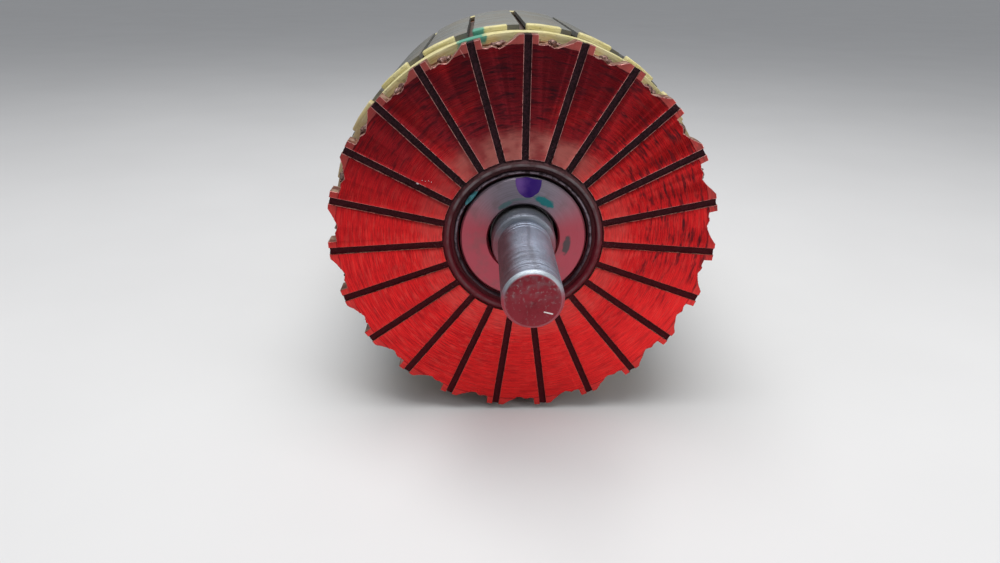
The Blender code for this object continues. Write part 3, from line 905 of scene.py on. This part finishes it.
def buildChip():  # bright curl of metal caught in a groove, with a few crumbs beside it
    draw = random.Random(29)
    shape = bmesh.new()
    for angle, reach, size, depth in chipBits:
        bit = bmesh.new()
        bmesh.ops.create_icosphere(bit, subdivisions=2, radius=1.0)
        stretch(bit, (size, 0.45 * size, 0.75 * size))
        roughen(bit, 0.6 * size, 1.1 * size, seed=draw.uniform(0, 30))
        place = onRay(math.radians(angle + draw.uniform(-0.4, 0.4)), reach, depth)
        move(bit, place)
        addShape(shape, bit)
    finishPiece("metalChip", shape, ["chip"], smooth=25)


flashLook = {
    "sides": 180,
    "lipUntil": 22.9,  # what stands in front of this is the uneven lip
    "lower": 0.12,
    "swell": 0.40,
    "wander": 0.010,
    "profile": [(9.98, 23.40), (10.18, 22.78), (10.26, 22.66), (10.38, 22.70), (10.44, 22.84),
                (10.58, 23.40), (10.3, 23.45)],
}


def buildFlash():  # thin uneven lip of resin left against the collar
    shape = turned(flashLook["profile"], flashLook["sides"])
    for vert in shape.verts:
        angle = math.atan2(vert.co.x, vert.co.z)
        if vert.co.y < flashLook["lipUntil"]:
            swell = flashLook["swell"] * ringNoise(angle, 3.1, 2.0)
            vert.co.y += flashLook["lower"] - swell * (0.6 + 0.4 * math.cos(angle - 0.6))
        spread(vert, 1 + flashLook["wander"] * ringNoise(angle, 5.0, 7.0))
    finishPiece("resinFlash", shape, ["flash"], smooth=60)


# Commutator bars
barLook = {
    "innerEnd": 12.30,
    "innerUntil": 13.2,  # points nearer the shaft are moved to the inner end
    "rimFrom": 27.5,
    "rimUntil": 29.45,
    "longest": 25,  # the bar's long sides aren't cut up
    "ragged": 0.11,
    "burrWidth": 0.065,
    "backRounding": 0.12,
}


def buildBar(number):
    name = "commutator_bar_%02d" % number
    shape = cadCopy(name)
    aroundShaft(shape, -(number - 0.5))
    for vert in shape.verts:
        if reachOf(vert) < barLook["innerUntil"]:
            setReach(vert, barLook["innerEnd"])
    rim = [edge for edge in shape.edges
           if run(edge, "y") < 0.01 and min(reaches(edge)) > barLook["rimFrom"]
           and edge.calc_length() <= barLook["longest"]]
    bmesh.ops.subdivide_edges(shape, edges=rim, cuts=3, use_grid_fill=False)
    for vert in shape.verts:
        if barLook["rimFrom"] < reachOf(vert) < barLook["rimUntil"]:
            place = Vector((vert.co.x * 1.1, vert.co.y * 0.35 + number * 5.3, vert.co.z * 1.1))
            lump = noise.noise(place) + 0.6 * noise.noise(place * 2.7)
            pushOut(vert, barLook["ragged"] * lump)
    for face in shape.faces:
        face.material_index = 0 if face.normal.y < -0.9 else 2
    softenEdges(shape, barLook["burrWidth"], 2, 50, 1, lambda edge: max(
        vert.co.y for vert in edge.verts) < layout["faceAt"] + 0.01)
    softenEdges(shape, barLook["backRounding"], 1, 50, 2, lambda edge: min(
        vert.co.y for vert in edge.verts) > layout["barBackAt"] - 0.01)
    aroundShaft(shape, number - 0.5)
    finishPiece("copperBar_%02d" % number, shape, ["copperFace", "copperEdge", "copperSide"],
                [name], smooth=24)


# Welds of the coil ends behind the notches
weldLook = {
    "beads": (  # share of the pitch, radius, depth, size
        (0.455, 28.35, 24.6, (0.68, 0.70, 0.50)),
        (0.56, 28.30, 25.1, (0.44, 0.50, 0.38)),
        (0.37, 28.45, 24.3, (0.28, 0.32, 0.25))),
    "lumps": 0.34,
    "lumpSize": 0.75,
}


def buildWelds():
    draw = random.Random(11)
    shape = bmesh.new()
    for number in range(layout["slots"]):
        for share, reach, depth, size in weldLook["beads"]:
            drop = bmesh.new()
            bmesh.ops.create_icosphere(drop, subdivisions=3, radius=1.0)
            stretch(drop, size)
            roughen(drop, weldLook["lumps"], weldLook["lumpSize"], seed=draw.uniform(0, 50))
            angle = (share + draw.uniform(-0.03, 0.03)) * pitch
            reach += draw.uniform(-0.12, 0.1)
            depth += draw.uniform(-0.2, 0.3)
            bmesh.ops.rotate(drop, matrix=Matrix.Rotation(angle, 3, "Y"), verts=drop.verts)
            move(drop, onRay(angle, reach, depth))
            aroundShaft(drop, number)
            addShape(shape, drop)
    finishPiece("weldBeads", shape, ["weld"], smooth=75)


# Cream bands and combs
bandLook = {
    "sides": 200,
    "outer": 29.5,
    "front": (29.2, 33.0, 27.1),  # start, end, inner radius
    "rear": (82.0, 87.0, 28.7),
    "cordPitch": 0.62,
    "cordHeight": 0.035,
    "swell": 0.09,
    "sideSwell": 0.10,
}
combLook = {
    "rounding": 0.28,
    "fingersFrom": 28.6,
    "swell": 0.07,
    "shrink": 0.05,
    "sideSwell": 0.10,
}


def buildBand(name, node, measures, look):
    near, far, inner = measures
    outer = bandLook["outer"]
    profile = [(inner, near + 0.1), (inner + 0.1, near), (outer - 0.35, near),
               (outer - 0.1, near + 0.08), (outer, near + 0.35), (outer, far - 0.35),
               (outer - 0.1, far - 0.08), (outer - 0.35, far), (inner + 0.1, far),
               (inner, far - 0.1)]
    shape = turned(profile, bandLook["sides"])
    longer = [edge for edge in shape.edges if edge.calc_length() > 1.1]
    bmesh.ops.subdivide_edges(shape, edges=longer, cuts=5, use_grid_fill=True)
    for vert in shape.verts:
        if reachOf(vert) > outer - 0.3:
            angle = math.atan2(vert.co.x, vert.co.z)
            cords = math.sin(vert.co.y * 2 * math.pi / bandLook["cordPitch"])
            swell = bandLook["swell"] * ringNoise(angle, 6, vert.co.y * 0.5)
            pushOut(vert, bandLook["cordHeight"] * cords + swell)
        else:
            vert.co.y += bandLook["sideSwell"] * noise.noise(vert.co * 0.8)
    finishPiece(name, shape, [look], [node], smooth=45)


def buildComb(name, node, look):
    shape = cadCopy(node)
    softenEdges(shape, combLook["rounding"], 3, 28,
                chosen=lambda edge: max(reaches(edge)) > combLook["fingersFrom"])
    for vert in shape.verts:
        if reachOf(vert) > combLook["fingersFrom"]:
            pushOut(vert, combLook["swell"] * noise.noise(vert.co * 0.55) - combLook["shrink"])
            swell = noise.noise(vert.co * 0.7 + Vector((9, 0, 0)))
            vert.co.y += combLook["sideSwell"] * swell
    finishPiece(name, shape, [look], [node], smooth=50)


# Core: thin sheets stacked on the shaft, each a little out of line with the next
coreLook = {
    "sheets": 66,
    "joint": 0.06,  # width of each side of the joint between two sheets
    "step": 0.045,  # how far the joint lies back
    "radialPlay": 0.022,
    "turnPlay": 0.0007,
    "toothFrom": 29.6,  # points beyond this are on the teeth's outside
    "mouthFrom": 29.0,  # and between the two, at the slots' mouths
    "mouthRadius": 29.3,
}


def buildCore():
    draw = random.Random(3)
    shape = cadCopy("core_laminations")
    front = layout["coreFrontAt"]
    length = layout["coreBackAt"] - front
    outer = layout["coreRadius"]
    unwanted = [face for face in shape.faces if not (face.normal.y < -0.9
                and face.calc_center_median().y < front + 0.1)]
    bmesh.ops.delete(shape, geom=unwanted, context="FACES")
    rims = [edge for edge in shape.edges
            if edge.is_boundary and min(reaches(edge)) > outer - 0.1]
    bmesh.ops.subdivide_edges(shape, edges=rims, cuts=1, use_grid_fill=False)
    for vert in shape.verts:
        if reachOf(vert) > outer - 0.1:
            setReach(vert, outer)
    capFaces = shape.faces[:]
    backCap = bmesh.ops.duplicate(shape, geom=shape.verts[:] + shape.edges[:] + capFaces)
    backVerts = [item for item in backCap["geom"] if isinstance(item, bmesh.types.BMVert)]
    backFaces = [item for item in backCap["geom"] if isinstance(item, bmesh.types.BMFace)]
    ring = [edge for face in capFaces for edge in face.edges if edge.is_boundary]
    bmesh.ops.translate(shape, vec=(0, length, 0), verts=backVerts)
    bmesh.ops.reverse_faces(shape, faces=backFaces)
    thickness = length / coreLook["sheets"]
    joint = coreLook["joint"]
    for sheet in range(coreLook["sheets"]):
        play = draw.uniform(-1, 1) * coreLook["radialPlay"]
        swing = draw.uniform(-1, 1) * coreLook["turnPlay"]
        steps = ((joint, 0.0), (thickness - 2 * joint, 0.0), (joint, coreLook["step"]))
        if sheet == coreLook["sheets"] - 1:  # the last one meets the back cap
            steps = ((thickness, 0.0),)
            play = swing = 0.0
        for forward, inset in steps:
            grown = bmesh.ops.extrude_edge_only(shape, edges=ring)["geom"]
            ring = [item for item in grown if isinstance(item, bmesh.types.BMEdge)
                    and item.is_boundary]
            verts = list({vert for edge in ring for vert in edge.verts})
            bmesh.ops.translate(shape, vec=(0, forward, 0), verts=verts)
            for vert in verts:
                if reachOf(vert) > coreLook["mouthFrom"]:
                    onTooth = reachOf(vert) > coreLook["toothFrom"]
                    wanted = (outer if onTooth else coreLook["mouthRadius"]) + play - inset
                    setReach(vert, wanted)
            if swing and not inset and forward < 0.1:
                bmesh.ops.rotate(shape, cent=(0, 0, 0), matrix=Matrix.Rotation(swing, 3, "Y"),
                                 verts=verts)
    bmesh.ops.remove_doubles(shape, verts=shape.verts, dist=0.01)
    turnOutwards(shape)
    finishPiece("coreSheets", shape, ["core"], ["core_laminations"], smooth=30)


# Paper round the copper in each slot, folded shut under the slot's mouth
linerLook = {
    "size": (2.86, 47.6, 8.0),
    "place": (0, 57.5, 24.66),
    "corner": 0.35,
    "paper": 0.16,
    "crumple": 0.06,
    "crumpleSize": 2.2,
}


def buildLiners():
    shape = bmesh.new()
    for number in range(layout["slots"]):
        sleeve = bmesh.new()
        bmesh.ops.create_cube(sleeve, size=1.0)
        stretch(sleeve, linerLook["size"])
        move(sleeve, linerLook["place"])
        ends = [face for face in sleeve.faces if abs(face.normal.y) > 0.9]
        bmesh.ops.delete(sleeve, geom=ends, context="FACES")
        lengthwise = [edge for edge in sleeve.edges if run(edge, "y") > 10]
        bmesh.ops.bevel(sleeve, geom=lengthwise, offset=linerLook["corner"],
                        offset_type="OFFSET", segments=2, profile=0.5, affect="EDGES",
                        material=-1)
        lengthwise = [edge for edge in sleeve.edges if run(edge, "y") > 10]
        bmesh.ops.subdivide_edges(sleeve, edges=lengthwise, cuts=12, use_grid_fill=True)
        roughen(sleeve, linerLook["crumple"], linerLook["crumpleSize"], seed=number * 2.3)
        turnOutwards(sleeve)
        bmesh.ops.solidify(sleeve, geom=sleeve.faces[:], thickness=linerLook["paper"])
        aroundShaft(sleeve, number)
        addShape(shape, sleeve)
    finishPiece("slotLiners", shape, ["liner"], smooth=50)


# Coils
def buildCoil(number):
    name = "coil_%02d" % number
    shape = cadCopy(name)
    softenEdges(shape, coilLook["rounding"], 2, 55)
    turnOutwards(shape)
    piece = finishPiece("hairpin_%02d" % number, shape, ["coil"], [name],
                        smooth=60)
    rounding = piece.modifiers.new("rounding", "SUBSURF")
    rounding.levels = 1
    rounding.render_levels = 1


buildShaft()
buildGear()
buildCollar()
buildPaintDrop()
buildTealStreak()
print("shaft and collar done")
buildHub()
buildFlash()
buildChip()
for barNumber in range(1, layout["slots"] + 1):
    buildBar(barNumber)
buildWelds()
print("commutator done")
buildBand("frontCordBand", "front_band", bandLook["front"], "creamPainted")
buildBand("rearCordBand", "rear_band", bandLook["rear"], "cream")
buildComb("frontInsulator", "front_comb", "creamPainted")
buildComb("rearInsulator", "rear_comb", "cream")
buildCore()
buildLiners()
for coilNumber in range(1, layout["slots"] + 1):
    buildCoil(coilNumber)
print("core and coils done")


# Floor, light and camera; these are in metres
stageLook = {
    "floorSize": 6.0,
    "floorAhead": 0.6,
    "floorTones": ((0.66, 0.655, 0.65), (0.72, 0.715, 0.71)),
    "floorRoughness": 0.75,
    "skyLow": (0.120, 0.124, 0.130, 1),
    "skyHigh": (0.44, 0.455, 0.48, 1),
}
lampLook = {  # place, aim, size, power, colour
    "skyPanel": ((-0.02, 0.02, 0.34), (0, 0.01, 0), (0.26, 0.32), 1.35, (1, 1, 1)),
    "frontPanel": ((0.28, -0.15, 0.10), (0, 0.03, 0), (0.12, 0.12), 0.24, (1.0, 0.98, 0.96)),
}
cameraLook = {
    "focal": 727.0,  # pixels, in a frame 1000 wide
    "frameWidth": 1000.0,
    "sensor": 36.0,
    "tilt": 23.2,
    "yaw": -1.62,
    "place": (-6.66, -81.5, 37.6),  # millimetres
}


def addStage():
    paint = Finish("paleFloor", stageLook)
    paint.ground(paint.noise(0.02, 3.0), "floorTones")
    shape = bmesh.new()
    bmesh.ops.create_grid(shape, x_segments=1, y_segments=1, size=stageLook["floorSize"])
    move(shape, (0, stageLook["floorAhead"], layout["floorAt"] * mm))
    mesh = bpy.data.meshes.new("floor")
    shape.to_mesh(mesh)
    shape.free()
    mesh.materials.append(paint.done(stageLook["floorRoughness"]))
    floor = bpy.data.objects.new("floor", mesh)
    bpy.context.scene.collection.objects.link(floor)


def addLamp(name, place, aim, size, power, colour):
    lamp = bpy.data.lights.new(name, "AREA")
    lamp.shape = "RECTANGLE"
    lamp.size, lamp.size_y = size
    lamp.energy = power
    lamp.color = colour
    item = bpy.data.objects.new(name, lamp)
    item.location = place
    item.rotation_euler = (Vector(aim) - Vector(place)).to_track_quat("-Z", "Y").to_euler()
    item.visible_camera = False
    bpy.context.scene.collection.objects.link(item)


def addWorld():
    world = bpy.data.worlds.new("studio")
    world.use_nodes = True
    tree = world.node_tree
    background = tree.nodes["Background"]
    aim = tree.nodes.new("ShaderNodeTexCoord")
    parts = tree.nodes.new("ShaderNodeSeparateXYZ")
    tree.links.new(aim.outputs["Generated"], parts.inputs[0])
    height = Wire(tree, parts.outputs["Z"]).between(-0.05, 0.95)
    tone = tree.nodes.new("ShaderNodeMix")
    tone.data_type = "RGBA"
    tone.inputs[6].default_value = stageLook["skyLow"]
    tone.inputs[7].default_value = stageLook["skyHigh"]
    connect(tree, tone.inputs[0], height)
    tree.links.new(tone.outputs[2], background.inputs["Color"])
    background.inputs["Strength"].default_value = 1.0
    bpy.context.scene.world = world


def addCamera():
    lens = bpy.data.cameras.new("camera")
    lens.sensor_width = cameraLook["sensor"]
    lens.lens = cameraLook["sensor"] * cameraLook["focal"] / cameraLook["frameWidth"]
    lens.clip_start = 0.005
    camera = bpy.data.objects.new("camera", lens)
    tilt = math.radians(cameraLook["tilt"])
    yaw = math.radians(cameraLook["yaw"])
    world = (Matrix.Rotation(yaw, 3, "Y") @ Matrix.Rotation(tilt, 3, "X")
             @ Matrix(((1, 0, 0), (0, 0, -1), (0, 1, 0))))
    right, up, back = world[0], -world[1], -world[2]
    turnedTo = Matrix((right, up, back)).transposed().to_4x4()
    camera.matrix_world = Matrix.Translation(Vector(cameraLook["place"]) * mm) @ turnedTo
    bpy.context.scene.collection.objects.link(camera)
    bpy.context.scene.camera = camera


addStage()
addWorld()
for lampName, lampValues in lampLook.items():
    addLamp(lampName, *lampValues)
addCamera()
bpy.context.scene.view_settings.view_transform = "Standard"
print("stage done")
